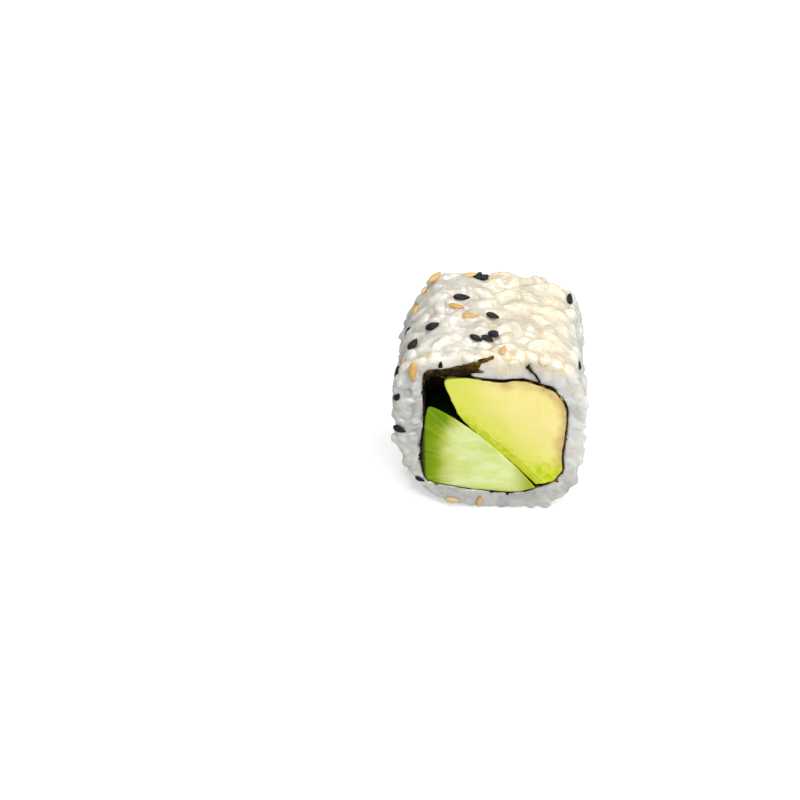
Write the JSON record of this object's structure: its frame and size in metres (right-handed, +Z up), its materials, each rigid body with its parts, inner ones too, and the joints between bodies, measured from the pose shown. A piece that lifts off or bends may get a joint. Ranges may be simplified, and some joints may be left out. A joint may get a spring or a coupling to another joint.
{
  "type": "uramaki sushi roll slice",
  "caption": "Slice of inside-out sushi roll: a lumpy square wall of rice round a sheet of nori that holds a strip of avocado and a strip of cucumber.",
  "frame": {"origin": "middle of the slice's footprint, on the plane it rests on", "axes": "+Z up; Y along the roll's axis, with the front cut face looking along -Y; +X to the right of the front cut face"},
  "size_m": [0.0386, 0.032, 0.037],
  "materials": {
    "rice": "moist sticky sushi rice, translucent white with a soft wet gloss",
    "nori": "moist nori, near black with olive and brown where it is thin",
    "avocado": "ripe avocado flesh, pale yellow towards the stone and bright green under the skin",
    "cucumber": "wet cut cucumber, pale green with darker green at the skin",
    "sesame_black": "black sesame seed, faintly glossy",
    "sesame_golden": "toasted sesame seed, golden with a brown tip"
  },
  "bodies": {
    "root": {"rice": "rice", "nori": "nori", "avocado": "avocado", "cucumber": "cucumber"}
  },
  "joints": []
}
